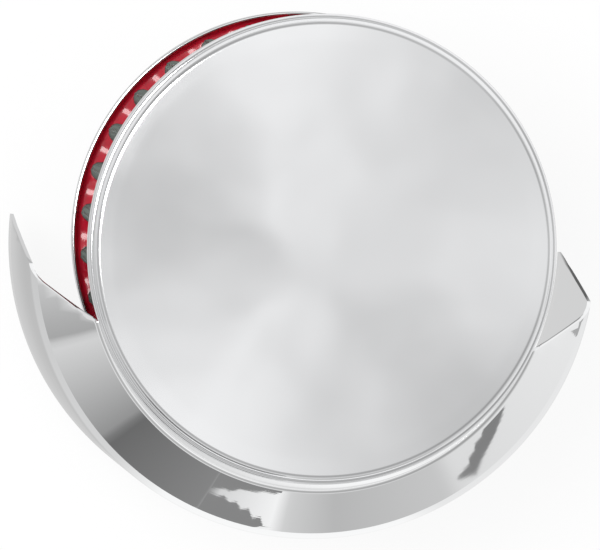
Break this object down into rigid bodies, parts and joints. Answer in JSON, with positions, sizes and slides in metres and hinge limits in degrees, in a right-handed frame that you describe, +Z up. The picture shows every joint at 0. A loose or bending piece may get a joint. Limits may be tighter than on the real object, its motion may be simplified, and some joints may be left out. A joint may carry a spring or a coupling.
{
  "type": "crankcase breather filter",
  "caption": "Crankcase breather filter with a pleated cotton element between a chrome cap and base pan, a pressed hood that shields one side, and a push-in neck.",
  "frame": {"origin": "centre of the open end of the neck, on the filter's axis", "axes": "+Z up the axis from the neck to the cap; the hood hangs on the -Y side; X across the hood"},
  "size_m": [0.0954, 0.0873, 0.0635],
  "materials": {
    "chrome": "bright chrome plate",
    "potting": "cast glossy compound",
    "screen_wire": "coated woven wire",
    "oiled_gauze": "oiled cotton gauze",
    "plain_steel": "zinc plate"
  },
  "bodies": {
    "root": {"cap": "chrome", "hood": "chrome", "top_potting": "potting", "outer_screen": "screen_wire", "gauze": "oiled_gauze", "inner_screen": "screen_wire", "base_potting": "potting", "base_pan": "chrome", "neck": "chrome", "splash_baffle": "plain_steel"}
  },
  "joints": []
}
